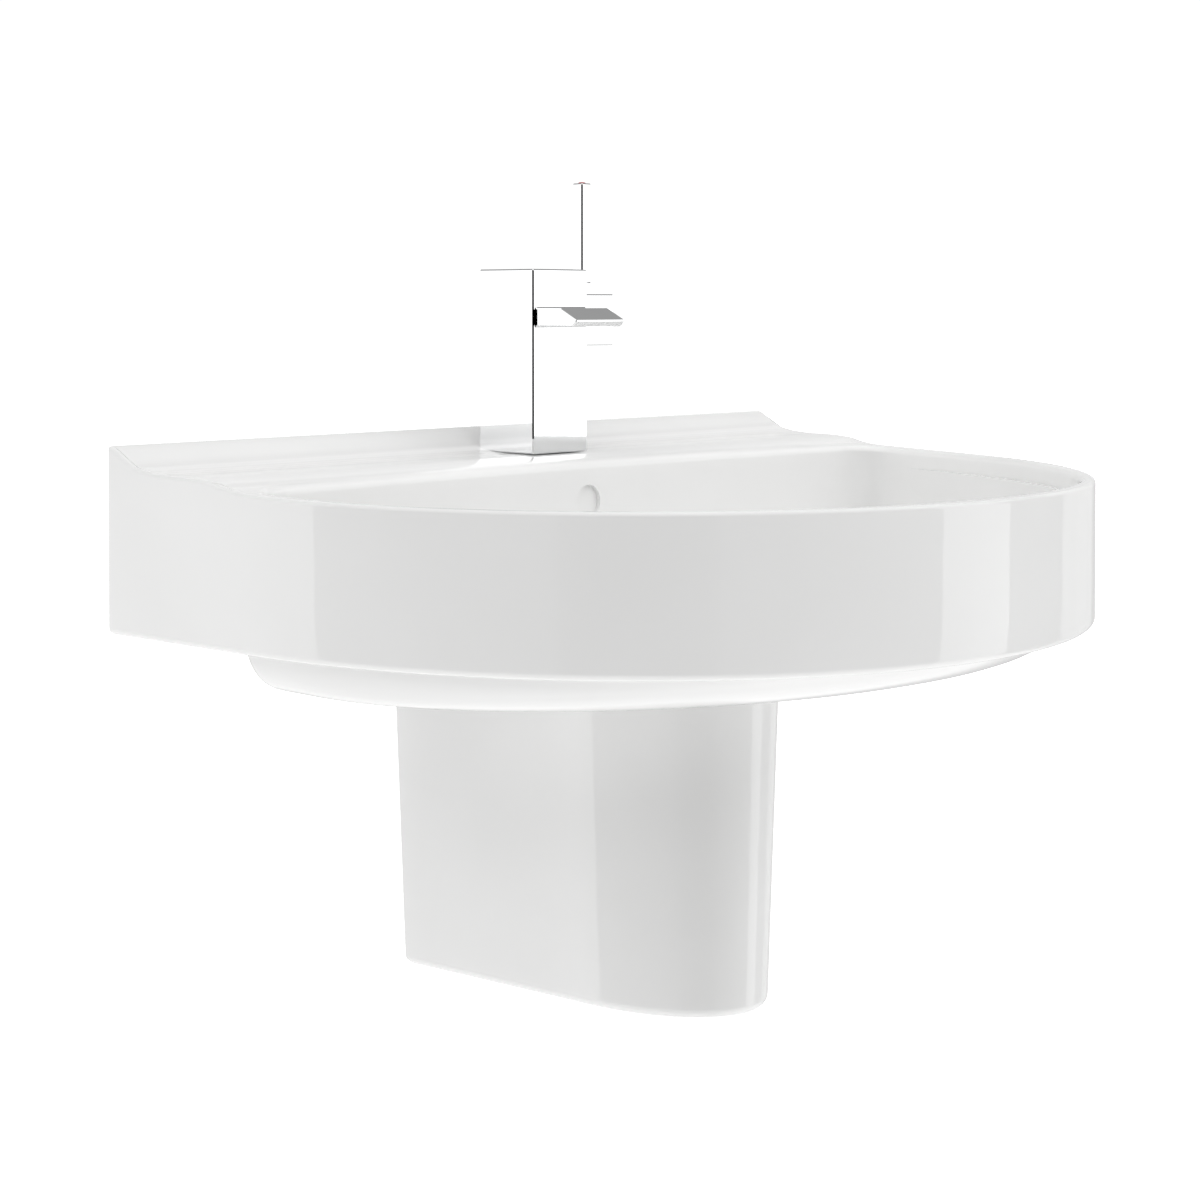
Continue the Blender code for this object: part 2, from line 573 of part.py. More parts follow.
def make_aerator():
    """Flat outlet under the spout: a cassette with a row of slots."""
    low = SPOUT_BOTTOM_Z
    cassette = add_object("aerator", box(
        (-AERATOR_HALF, AERATOR_FRONT_Y, low + 0.0004), (AERATOR_HALF, AERATOR_BACK_Y, AERATOR_TOP_Z),
    ), "plastic", smooth=False)
    for i in range(AERATOR_SLOTS):
        x = (i - (AERATOR_SLOTS - 1) / 2) * AERATOR_PITCH
        cut(cassette, f"aerator_slot_{i}", box(
            (x - AERATOR_SLOT_HALF, AERATOR_FRONT_Y + 0.0020, low - 0.002),
            (x + AERATOR_SLOT_HALF, AERATOR_BACK_Y - 0.0020, low + 0.008)))


def make_tap_fixings():
    section = ring_profile(0.0195, 0.0242, DECK_Z + GAP, TAP_BASE_Z - GAP)
    seal = turned(section, (0, TAP_Y, 0), segments=FINE_STEPS)
    add_object("tap_base_seal", seal, "rubber")
    under = DECK_Z - DECK_THICKNESS
    stud_y = TAP_Y - 0.010
    stud = turned([(0, 0.0600), (0.0036, 0.0600), (0.0040, 0.0594), (0.0040, -0.0044), (0.0034, -0.0050),
                   (0, -0.0050)], (0, stud_y, 0))
    add_object("tap_stud", stud, "steel")
    plates = (("tap_clamp_gasket", "rubber", under - 0.0033, under - GAP),
              ("tap_clamp_plate", "steel", under - 0.0061, under - 0.0036))
    for name, finish, low, high in plates:
        plate = add_object(name, prism(circle(0.0205, (0, TAP_Y), FINE_STEPS), low, high), finish)
        cut(plate, f"{name}_mouth", box((-0.0150, stud_y + 0.0065, low - 0.01), (0.0150, 0.0, high + 0.01)))
        cut(plate, f"{name}_hole", prism(circle(0.0043, (0, stud_y)), low - 0.01, high + 0.01))
    nut = hex_ring(0.013, 0.0043, (0, stud_y, 0), under - 0.0174, under - 0.0064)
    add_object("tap_nut", nut, "brass")
    for name, x in (("hot", -0.0085), ("cold", 0.0085)):
        nipple = [(0.0053, 0.0600), (0.0053, 0.0250), (0.0058, 0.0240), (0.0058, 0.0140), (0.0046, 0.0130),
                  (0.0046, 0.0020), (0.0032, 0.0020), (0.0032, 0.0600)]
        add_object(f"inlet_nipple_{name}", turned(nipple, (x, TAP_Y + 0.005, 0)), "brass")


def make_cartridge():
    housing_x = (TAP_HALF + GAP, HOUSING_END_X)
    middle = (sum(housing_x) / 2, TAP_Y)
    half_x = (housing_x[1] - housing_x[0]) / 2
    low = HOUSING_TOP_Z - HOUSING_SIZE
    housing = add_object(
        "lever_housing", chamfered_block(half_x, HOUSING_SIZE / 2, middle, low, HOUSING_TOP_Z), "chrome")
    bore_r = 0.0107
    centre = (LEVER_X, TAP_Y, 0)
    bore = turned([(0, low + 0.005), (bore_r, low + 0.005), (bore_r, HOUSING_TOP_Z + 0.01),
                   (0, HOUSING_TOP_Z + 0.01)],
                  centre)
    cut(housing, "cartridge_bore", bore)
    port = turned([(0, 0.020), (0.005, 0.020), (0.005, LEVER_X - 0.009), (0, LEVER_X - 0.009)],
                  (0, TAP_Y, 0.134), "X")
    cut(housing, "housing_port", port)

    radius = bore_r - GAP
    shell = [(0, 0.1222), (radius, 0.1222), (radius, 0.1440), (0.0076, 0.1440), (0.0076, 0.1300),
             (0, 0.1300)]
    add_object("cartridge_body", turned(shell, centre), "plastic")
    ring = [(radius, 0.1443), (radius, 0.1508), (0.0078, 0.1508), (0.0073, 0.1503), (0.0073, 0.1443)]
    add_object("cartridge_ring", turned(ring, centre), "chrome")


def make_lever():
    """Joystick: a carrier turns in the cartridge about Z, and the lever tilts in the carrier."""
    centre = (LEVER_X, TAP_Y, 0)
    carrier = [(0, 0.1303), (0.0073, 0.1303), (0.0073, 0.1436), (0.0056, 0.1436), (0.0041, 0.1418),
               (0.0041, 0.1368), (0, 0.1368)]
    add_object("cartridge_carrier", turned(carrier, centre), "plastic")

    pivot = bpy.data.objects.new("lever_pivot", None)
    pivot.location = (LEVER_X, TAP_Y, PIVOT_Z)
    bpy.context.scene.collection.objects.link(pivot)

    ball_r = 0.0036
    neck_r = 0.0028
    stem = [(0, -ball_r)]
    steps = 7
    end_angle = pi - 0.93                       # where the ball meets the neck
    for i in range(1, steps + 1):
        t = end_angle * i / steps
        stem.append((ball_r * sin(t), -ball_r * cos(t)))
    top = LEVER_FOOT_Z + 0.011 - PIVOT_Z
    stem += [(neck_r, sqrt(ball_r ** 2 - neck_r ** 2) + 0.0008), (neck_r, top), (0, top)]
    stem_part = add_object("lever_stem", turned(stem, (0, 0, 0)), "chrome")

    foot = LEVER_FOOT_Z - PIVOT_Z
    head = LEVER_TOP_Z - PIVOT_Z
    bar = add_object(
        "lever_bar", chamfered_block(LEVER_HALF, LEVER_HALF, (0, 0), foot, head, 0.0004), "chrome")
    bore = turned([(0, foot - 0.01), (neck_r + GAP, foot - 0.01), (neck_r + GAP, foot + 0.0115),
                   (0, foot + 0.0115)], (0, 0, 0))
    screw_z = foot + 0.006
    screw_hole = turned([(0, 0.0), (0.0018, 0.0), (0.0018, 0.01), (0, 0.01)], (0, 0, screw_z), "Y", 12)
    button_seat = turned([(0, head - 0.0012), (0.0030, head - 0.0012), (0.0030, head + 0.01),
                          (0, head + 0.01)],
                         (0, 0, 0))
    cutters = [add_object("stem_bore", bore), add_object("grub_hole", screw_hole),
               add_object("button_seat", button_seat)]
    for cutter in cutters:
        boolean(bar, cutter, "DIFFERENCE")
    screw = add_object("lever_grub_screw", turned(
        [(0, 0.0032), (0.0015, 0.0032), (0.0015, 0.0045), (0, 0.0045)], (0, 0, screw_z), "Y", 12), "steel")
    button = add_object("lever_indicator", turned(
        [(0, head - 0.0009), (0.0027, head - 0.0009), (0.0027, head + 0.0002), (0.0021, head + 0.0007),
         (0.0011, head + 0.0009), (0, head + 0.0010)], (0, 0, 0)), "red")
    for piece in (stem_part, bar, screw, button, *cutters):
        piece.parent = pivot


def clear_scene():
    for item in list(bpy.data.objects):
        bpy.data.objects.remove(item, do_unlink=True)


def main():
    clear_scene()
    make_basin()
    make_pedestal()
    for side, sign in (("left", -1), ("right", 1)):
        make_wall_fixing("basin", side, sign * STUD_X, 0.0, 0.005, -BACK_WALL, 0.032, 0.060, 0.017)
        make_wall_fixing("pedestal", side, sign * PED_STUD_X, PED_STUD_Z, 0.004, -0.014, 0.024, 0.026,
                          0.013)
    make_waste()
    make_plug()
    make_trap()
    make_tap_body()
    make_aerator()
    make_tap_fixings()
    make_cartridge()
    make_lever()


main()
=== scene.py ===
import json
from math import atan2, cos, pi, radians, sin, sqrt

import bmesh
import bpy
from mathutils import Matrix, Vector


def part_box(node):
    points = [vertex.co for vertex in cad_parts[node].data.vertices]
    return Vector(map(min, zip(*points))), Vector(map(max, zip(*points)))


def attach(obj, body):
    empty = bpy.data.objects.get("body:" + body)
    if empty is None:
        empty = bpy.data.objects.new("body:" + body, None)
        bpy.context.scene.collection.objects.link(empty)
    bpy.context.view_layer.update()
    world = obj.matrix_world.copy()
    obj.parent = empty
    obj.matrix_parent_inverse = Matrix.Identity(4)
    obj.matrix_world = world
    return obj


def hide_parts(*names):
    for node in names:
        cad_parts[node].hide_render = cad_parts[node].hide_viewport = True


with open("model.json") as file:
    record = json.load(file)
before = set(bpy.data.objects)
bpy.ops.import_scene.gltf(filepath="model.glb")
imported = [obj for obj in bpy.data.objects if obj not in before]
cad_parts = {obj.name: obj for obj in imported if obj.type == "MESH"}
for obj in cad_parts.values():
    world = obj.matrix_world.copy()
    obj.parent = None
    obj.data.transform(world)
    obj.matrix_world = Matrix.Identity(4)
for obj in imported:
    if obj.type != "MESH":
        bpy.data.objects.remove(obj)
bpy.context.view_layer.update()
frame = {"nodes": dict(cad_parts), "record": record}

# ---------------------------------------------------------------- sizes
# Metres, read from the frame where it has them.
BASIN_LOW, BASIN_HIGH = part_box("basin")
PED_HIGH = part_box("semi_pedestal")[1]
TAP_LOW, TAP_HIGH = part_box("tap_body")
DRAIN = (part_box("plug_cap")[0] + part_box("plug_cap")[1]) / 2
SPINDLE = (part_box("cartridge_ring")[0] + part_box("cartridge_ring")[1]) / 2

HALF_WIDTH = BASIN_HIGH.x
FRONT_HALF_WIDTH = 0.2962         # where the straight sides meet the round front
SIDE_LENGTH = 0.1155
FRONT_BULGE = -BASIN_LOW.y - SIDE_LENGTH
PAN_Z = BASIN_LOW.z
UPSTAND_Z = BASIN_HIGH.z
SKIRT_Z = -0.050
RIM_Z = 0.0381
DECK_Z = 0.0463
SKIRT_WALL = 0.011
FLOOR_Z = -0.058
DRAIN_Z = -0.060
UNDER_RIM = 0.014                 # thickness of rim and deck
EDGE_R = 0.0026                   # rounding of the outer top edge
OUTER_CORNER_R = 0.0018
BOWL_EDGE_R = 0.0050
SKIRT_EDGE_R = 0.0042
BOWL_POWER = 2.6                  # fullness of the bowl's wall section, 2 is an ellipse
PAN_POWER = 4.0                   # the same for the bowl's outside, which is squarer
FLANGE_SEAT_R = 0.033
DRAIN_HOLE_R = 0.023
OVERFLOW = Vector((0.0, -0.112, 0.0158))
OVERFLOW_R = 0.011
STUD_X = 0.140
STUD_HOLE_R = 0.007
PED_STUD_X = 0.045
PED_STUD_Z = -0.150
TAP_HOLE_R = 0.0175
TAP_Y = -0.054
TAP_FOOT_Z = DECK_Z + 0.0003      # the body's rim round its seal
SEAL_RECESS_R = 0.0244
CHROME_EDGE = 0.0009              # width of the chamfer on every chrome edge

PED_HALF = 0.0676                 # half width at the wall, bottom
PED_FLARE = 0.0456                # extra half width per metre of height
PED_TAPER = 0.853
PED_SIDE = 0.1477
PED_BULGE = 0.0983
PED_BULGE_FLARE = 0.0305
PED_BOTTOM_Z = -0.2946            # at the wall
PED_RISE = 0.0178
PED_WALL = 0.009
PED_EDGE_R = 0.0065

FRONT_STEPS = 128                 # points round a D-shaped plan's front
BACK_STEPS = 26
CORNER_STEPS = 8
SIDE_STEPS = 10
TURN_STEPS = 72                   # facets round a turned piece


# ---------------------------------------------------------------- materials
def noise(tree, scale, detail=3.0, stretch=(1.0, 1.0, 1.0)):
    """Noise in the piece's own coordinates, so that it stays with the piece."""
    coordinates = tree.nodes.new("ShaderNodeTexCoord")
    mapping = tree.nodes.new("ShaderNodeMapping")
    mapping.inputs["Scale"].default_value = stretch
    texture = tree.nodes.new("ShaderNodeTexNoise")
    texture.inputs["Scale"].default_value = scale
    texture.inputs["Detail"].default_value = detail
    tree.links.new(coordinates.outputs["Object"], mapping.inputs["Vector"])
    tree.links.new(mapping.outputs["Vector"], texture.inputs["Vector"])
    return texture.outputs["Fac"]


def spread(tree, value, low, high):
    """Stretch a noise value, which lies mostly between 0.3 and 0.7, over a range."""
    node = tree.nodes.new("ShaderNodeMapRange")
    node.inputs["From Min"].default_value = 0.3
    node.inputs["From Max"].default_value = 0.7
    node.inputs["To Min"].default_value = low
    node.inputs["To Max"].default_value = high
    tree.links.new(value, node.inputs["Value"])
    return node.outputs["Result"]


def finish(name, light, dark, roughness, metallic=0.0, patch=8.0, wear=40.0, grain=400.0, relief=0.00002,
           stretch=(1.0, 1.0, 1.0), coat=0.0):
    """Surface with patchy colour, uneven gloss and a fine relief."""
    material = bpy.data.materials.new(name)
    material.use_nodes = True
    tree = material.node_tree
    shader = tree.nodes["Principled BSDF"]
    shader.inputs["Metallic"].default_value = metallic
    shader.inputs["Coat Weight"].default_value = coat
    shader.inputs["Coat Roughness"].default_value = 0.02

    tint = tree.nodes.new("ShaderNodeValToRGB")
    tint.color_ramp.elements[0].position = 0.32
    tint.color_ramp.elements[0].color = (*dark, 1.0)
    tint.color_ramp.elements[1].position = 0.68
    tint.color_ramp.elements[1].color = (*light, 1.0)
    tree.links.new(noise(tree, patch, 4.0, stretch), tint.inputs["Fac"])
    tree.links.new(tint.outputs["Color"], shader.inputs["Base Color"])

    tree.links.new(spread(tree, noise(tree, wear, 5.0, stretch), *roughness), shader.inputs["Roughness"])

    bump = tree.nodes.new("ShaderNodeBump")
    bump.inputs["Strength"].default_value = 1.0
    bump.inputs["Distance"].default_value = relief
    tree.links.new(noise(tree, grain, 4.0, stretch), bump.inputs["Height"])
    tree.links.new(bump.outputs["Normal"], shader.inputs["Normal"])
    return material


FINISHES = {
    "ceramic": finish("glazed_ceramic", (0.90, 0.90, 0.895), (0.885, 0.885, 0.88), (0.015, 0.045),
                      patch=14.0, wear=25.0, grain=70.0, relief=0.000012),
    "chrome": finish("polished_chrome", (0.86, 0.865, 0.87), (0.84, 0.845, 0.85), (0.012, 0.040), 1.0,
                     patch=30.0, wear=90.0, grain=260.0, relief=0.000002),
    "brass": finish("turned_brass", (0.76, 0.60, 0.31), (0.62, 0.46, 0.22), (0.18, 0.36), 1.0,
                    patch=120.0, wear=200.0, grain=900.0, relief=0.00002, stretch=(1.0, 1.0, 6.0)),
    "steel": finish("zinc_plated_steel", (0.66, 0.67, 0.68), (0.50, 0.51, 0.53), (0.22, 0.42), 1.0,
                    patch=180.0, wear=260.0, grain=1200.0, relief=0.00002, stretch=(1.0, 4.0, 1.0)),
    "rubber": finish("black_rubber", (0.045, 0.045, 0.045), (0.022, 0.022, 0.022), (0.55, 0.80),
                     patch=90.0, wear=150.0, grain=1500.0, relief=0.00004),
    "plastic": finish("moulded_plastic", (0.82, 0.82, 0.80), (0.74, 0.74, 0.72), (0.28, 0.46),
                      patch=60.0, wear=120.0, grain=1100.0, relief=0.00003),
    "red": finish("red_cap", (0.60, 0.02, 0.03), (0.42, 0.01, 0.02), (0.10, 0.22),
                  patch=300.0, wear=300.0, grain=800.0, relief=0.00001, coat=0.5),
}
SLOT_OF = {entry["node"]: entry["material_slot"] for entry in frame["record"]["subparts"]}


# ---------------------------------------------------------------- mesh helpers
def new_object(name, builder, sharp=35.0):
    """Link a bmesh as an object, smooth except across edges sharper than the angle in degrees."""
    bmesh.ops.recalc_face_normals(builder, faces=builder.faces)
    mesh = bpy.data.meshes.new(name)
    builder.to_mesh(mesh)
    builder.free()
    mesh.shade_smooth()
    mesh.set_sharp_from_angle(angle=radians(sharp))
    piece = bpy.data.objects.new(name, mesh)
    bpy.context.scene.collection.objects.link(piece)
    return piece


def stand_in(piece, node, body):
    """Show a piece instead of a CAD node: on the node's body, with the node's finish."""
    slot = SLOT_OF[node]
    piece.data.materials.clear()
    piece.data.materials.append(FINISHES[slot])
    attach(piece, body)
    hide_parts(node)
    return piece


def apply_modifiers(piece):
    """Keep the mesh as its modifiers make it, and drop the modifiers."""
    graph = bpy.context.evaluated_depsgraph_get()
    graph.update()
    mesh = bpy.data.meshes.new_from_object(piece.evaluated_get(graph))
    piece.modifiers.clear()
    piece.data = mesh
    return piece


def boolean(piece, other, operation):
    """Apply a boolean and throw the other object away."""
    modifier = piece.modifiers.new(operation.lower(), "BOOLEAN")
    modifier.operation = operation
    modifier.object = other
    modifier.solver = "EXACT"
    apply_modifiers(piece)
    bpy.data.objects.remove(other, do_unlink=True)
    return piece


def chamfered(piece, width):
    """Cut every edge sharper than 40 degrees with one narrow flat, and keep all faces flat."""
    modifier = piece.modifiers.new("chamfer", "BEVEL")
    modifier.width = width
    modifier.segments = 1
    modifier.limit_method = "ANGLE"
    modifier.angle_limit = radians(40)
    apply_modifiers(piece)
    return piece


def bevelled(piece, width, segments=3):
    """Round every edge sharper than 40 degrees."""
    modifier = piece.modifiers.new("rounding", "BEVEL")
    modifier.width = width
    modifier.segments = segments
    modifier.limit_method = "ANGLE"
    modifier.angle_limit = radians(40)
    modifier.harden_normals = True
    apply_modifiers(piece)
    return piece


def skin(rings, closed=False, caps=False):
    """Faces between rings of equal count; closed joins the last ring to the first."""
    builder = bmesh.new()
    rows = [[builder.verts.new(point) for point in ring] for ring in rings]
    count = len(rows[0])
    for low, high in zip(rows, rows[1:] + (rows[:1] if closed else [])):
        for i in range(count):
            j = (i + 1) % count
            builder.faces.new((low[i], low[j], high[j], high[i]))
    if caps:
        builder.faces.new(rows[0])
        builder.faces.new(rows[-1])
    return builder


def block(low, high):
    """Plain box, for cutting or for bevelling."""
    (x0, y0, z0), (x1, y1, z1) = low, high
    return skin([[(x0, y0, z), (x1, y0, z), (x1, y1, z), (x0, y1, z)] for z in (z0, z1)], caps=True)


def place(axis, centre, radius, angle, height):
    """Point at a radius, an angle and a height along the axis through the centre."""
    a, b = radius * cos(angle), radius * sin(angle)
    if axis == "Z":
        return (centre[0] + a, centre[1] + b, height)
    if axis == "Y":
        return (centre[0] + b, height, centre[2] + a)
    return (height, centre[1] + a, centre[2] + b)


def spun(profile, axis, centre, loop=False, shape=None):
    """Turned solid. shape(angle, radius, height) may change the radius, for flutes and flats."""
    builder = bmesh.new()
    rows = []
    for radius, height in profile:
        if radius < 1e-6:
            rows.append([builder.verts.new(place(axis, centre, 0.0, 0.0, height))])
            continue
        row = []
        for i in range(TURN_STEPS):
            angle = 2 * pi * i / TURN_STEPS
            r = shape(angle, radius, height) if shape else radius
            row.append(builder.verts.new(place(axis, centre, r, angle, height)))
        rows.append(row)
    for low, high in zip(rows, rows[1:] + (rows[:1] if loop else [])):
        for i in range(TURN_STEPS):
            j = (i + 1) % TURN_STEPS
            corners = [low[i % len(low)], low[j % len(low)], high[j % len(high)], high[i % len(high)]]
            if len(set(corners)) > 2:
                builder.faces.new(list(dict.fromkeys(corners)))
    return builder


def softened(profile, loop, size):
    """Cut every corner of a profile with a three-point rounding, as a turned or moulded edge has."""
    points = []
    count = len(profile)
    for i, corner in enumerate(profile):
        ends = not loop and i in (0, count - 1)
        here = Vector(corner)
        before, after = Vector(profile[i - 1]), Vector(profile[(i + 1) % count])
        if ends or corner[0] < 1e-6:
            points.append(corner)
            continue
        back, on = before - here, after - here
        turn = back.angle(on, 0.0)
        if turn > radians(165):
            points.append(corner)
            continue
        reach = min(size, back.length * 0.4, on.length * 0.4)
        start, end = here + back.normalized() * reach, here + on.normalized() * reach
        middle = (start + end + 2 * here) / 4
        points += [tuple(start), tuple(middle), tuple(end)]
    return points


def turned_profile(node, axis, centre):
    """Profile of a turned CAD node, read from the rings of points round its axis."""
    heights = {"X": 0, "Y": 1, "Z": 2}[axis]
    across = [k for k in range(3) if k != heights]
    rings, ring_of = {}, []
    for vertex in frame["nodes"][node].data.vertices:
        offset = [vertex.co[k] - centre[k] for k in across]
        radius = round(sqrt(offset[0] ** 2 + offset[1] ** 2), 5)
        key = (radius, round(vertex.co[heights], 5))
        key = next((k for k in rings if abs(k[0] - key[0]) < 3e-5 and abs(k[1] - key[1]) < 3e-5), key)
        rings.setdefault(key, set()).add(round(atan2(offset[1], offset[0]), 3))
        ring_of.append(key)
    most = max(len(angles) for angles in rings.values())
    kept = {key for key, angles in rings.items() if len(angles) >= 0.6 * most or key[0] < 1e-4}
    near = {key: [] for key in kept}
    for edge in frame["nodes"][node].data.edges:
        a, b = (ring_of[v] for v in edge.vertices)
        if a != b and a in kept and b in kept and b not in near[a]:
            near[a].append(b)
            near[b].append(a)
    ends = [key for key in sorted(kept) if len(near[key]) < 2]
    walk = [ends[0] if ends else min(kept)]
    while True:
        steps = [key for key in near[walk[-1]] if key not in walk]
        if not steps:
            break
        walk.append(steps[0])
    if not ends:
        return walk, True
    first = [(0.0, walk[0][1])] if walk[0][0] > 1e-4 else []
    last = [(0.0, walk[-1][1])] if walk[-1][0] > 1e-4 else []
    walk = [(0.0, h) if r < 1e-4 else (r, h) for r, h in walk]
    return first + walk + last, False


def refine_turned(node, body, axis="Z", centre=None, edge=0.0004, shape=None):
    """Replace a faceted turned node by a smooth one with softened edges."""
    low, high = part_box(node)
    centre = centre or (low + high) / 2
    profile, loop = turned_profile(node, axis, centre)
    profile = softened(profile, loop, edge)
    return stand_in(new_object(f"{node}_fine", spun(profile, axis, centre, loop, shape), 60), node, body)


def flutes(count, depth, from_radius):
    """Grip flutes round the outside of a hand-tightened nut."""
    def shape(angle, radius, height):
        if radius < from_radius:
            return radius
        return radius - depth * (0.5 - 0.5 * cos(count * angle)) ** 2
    return shape


def bore_radius(node, axis, centre):
    """Smallest distance from the axis to a point of the node."""
    across = [k for k in range(3) if k != {"X": 0, "Y": 1, "Z": 2}[axis]]
    points = frame["nodes"][node].data.vertices
    return min(sqrt(sum((v.co[k] - centre[k]) ** 2 for k in across)) for v in points)


def refine_nut(node, axis):
    """Hexagonal nut with turned chamfers at both ends."""
    low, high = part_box(node)
    centre = (low + high) / 2
    k = {"X": 0, "Y": 1, "Z": 2}[axis]
    bottom, top = low[k], high[k]
    bore = bore_radius(node, axis, centre)
    flat = min((high - low)[j] for j in range(3) if j != k) / 2
    corner = flat / cos(pi / 6)
    cham = (corner - flat) * 0.8
    profile = [(corner - cham, bottom), (corner, bottom + cham * 0.55), (corner, top - cham * 0.55),
               (corner - cham, top), (bore + 0.0004, top), (bore, top - 0.0004), (bore, bottom + 0.0004),
               (bore + 0.0004, bottom)]

    def hexagonal(angle, radius, height):
        if radius < flat:
            return radius
        face = (angle + pi / 6) % (pi / 3) - pi / 6
        return min(radius, flat / cos(face))
    nut = new_object(f"{node}_fine", spun(profile, axis, centre, True, hexagonal), 25)
    return stand_in(nut, node, "root")


def threaded_rod(node, spans, centre):
    """Stud along Y, cut with a real helix over each span of (start, end, pitch, depth)."""
    profile = turned_profile(node, "Y", centre)[0]
    stations = sorted({h for r, h in profile})
    for start, end, pitch, depth in spans:
        steps = int((end - start) / pitch * 6)
        stations += [start + (end - start) * i / steps for i in range(steps + 1)]
    stations = sorted(set(round(h, 6) for h in stations))
    outline = [(r, h) for r, h in profile if r > 0]
    outline.sort(key=lambda p: p[1])

    def envelope(height):
        for (r0, h0), (r1, h1) in zip(outline, outline[1:]):
            if h0 <= height <= h1 and h1 > h0:
                return r0 + (r1 - r0) * (height - h0) / (h1 - h0)
        return outline[-1][0] if height > outline[-1][1] else outline[0][0]

    rows = 24
    builder = bmesh.new()
    grid = []
    for height in stations:
        row = []
        for i in range(rows):
            angle = 2 * pi * i / rows
            radius = envelope(height)
            for start, end, pitch, depth in spans:
                if start <= height <= end:
                    wave = abs(((height / pitch - angle / (2 * pi)) % 1.0) * 2 - 1)
                    ease = min(1.0, (height - start) / pitch, (end - height) / pitch)
                    radius -= min(depth, radius * 0.6) * (1 - wave) * ease
            row.append(builder.verts.new(place("Y", centre, radius, angle, height)))
        grid.append(row)
    for a, b in zip(grid, grid[1:]):
        for i in range(rows):
            j = (i + 1) % rows
            builder.faces.new((a[i], a[j], b[j], b[i]))
    builder.faces.new(grid[0])
    builder.faces.new(grid[-1])
    return stand_in(new_object(f"{node}_fine", builder, 50), node, "root")


# ---------------------------------------------------------------- basin
def plan(half, end_half, side_end, bulge, back, corner, bow=0.0):
    """D-shaped plan as a closed ring, from the middle of the back round by the right and the front."""
    right = []
    for i in range(BACK_STEPS):
        right.append(((half - corner) * i / BACK_STEPS, back))
    for i in range(CORNER_STEPS):
        t = pi / 2 - (pi / 2) * i / CORNER_STEPS
        right.append((half - corner + corner * cos(t), back - corner + corner * sin(t)))
    start = back - corner
    for i in range(SIDE_STEPS):
        s = i / SIDE_STEPS
        right.append((half + (end_half - half) * s, start + (-side_end - start) * s))
    front = []
    for i in range(FRONT_STEPS + 1):
        t = pi * i / FRONT_STEPS
        front.append((end_half * cos(t), -side_end - bulge * sin(t)))
    left = [(-x, y) for x, y in reversed(right[1:])]
    ring = []
    for x, y in right + front + left:
        weight = min(1.0, max(0.0, (y + side_end) / (back + side_end)))
        ring.append((x, y - bow * (x / half) ** 2 * weight))
    return ring


def inset(ring, distance):
    """Move a ring inwards along its own normals; a negative distance moves it outwards."""
    moved = []
    count = len(ring)
    for i, (x, y) in enumerate(ring):
        (x0, y0), (x1, y1) = ring[i - 1], ring[(i + 1) % count]
        dx, dy = x1 - x0, y1 - y0
        length = sqrt(dx * dx + dy * dy)
        moved.append((x + distance * dy / length, y - distance * dx / length))
    return moved


def rounded_polyline(points, times):
    """Cut a polyline's corners again and again until it is a smooth curve."""
    for _ in range(times):
        cut = [points[0]]
        for (a, b), (c, d) in zip(points, points[1:]):
            cut += [(a * 0.75 + c * 0.25, b * 0.75 + d * 0.25), (a * 0.25 + c * 0.75, b * 0.25 + d * 0.75)]
        points = cut + [points[-1]]
    return points


SIDE_PROFILE = rounded_polyline([
    (0.010, UPSTAND_Z), (-0.0058, UPSTAND_Z), (-0.0262, DECK_Z), (-0.0955, DECK_Z), (-0.1130, RIM_Z),
    (-0.50, RIM_Z),
], 3)


def top_height(y):
    """Height of the basin's top at a distance from the wall: upstand, tap deck, step, rim."""
    for (y0, z0), (y1, z1) in zip(SIDE_PROFILE, SIDE_PROFILE[1:]):
        if y1 <= y <= y0:
            return z0 + (z1 - z0) * (y - y0) / (y1 - y0)
    return RIM_Z


def wall_fraction(step, steps, power):
    """How far in and how far down a bowl's wall is, as fractions, on its rounded section."""
    t = (pi / 2) * step / steps
    across = 1.0 if step == steps else 1 - cos(t) ** (2 / power)
    return across, sin(t) ** (2 / power)


def blend_ring(a, b, s):
    return [(x0 + (x1 - x0) * s, y0 + (y1 - y0) * s) for (x0, y0), (x1, y1) in zip(a, b)]


def circle_like(ring, radius):
    """Points of a circle round the drain, each in the same direction as the ring's own point."""
    points = []
    for x, y in ring:
        angle = atan2(y - DRAIN.y, x - DRAIN.x)
        points.append((DRAIN.x + radius * cos(angle), DRAIN.y + radius * sin(angle)))
    return points


def at(ring, height):
    """Give a plan ring its heights: a number, or a function of the distance from the wall."""
    return [(x, y, height(y) if callable(height) else height) for x, y in ring]


def outer_plan(shrink):
    """The basin's outline, drawn smaller by a distance all round."""
    return plan(HALF_WIDTH - shrink, FRONT_HALF_WIDTH - shrink, SIDE_LENGTH, FRONT_BULGE - shrink, -shrink,
                max(OUTER_CORNER_R - shrink, 0.0004))


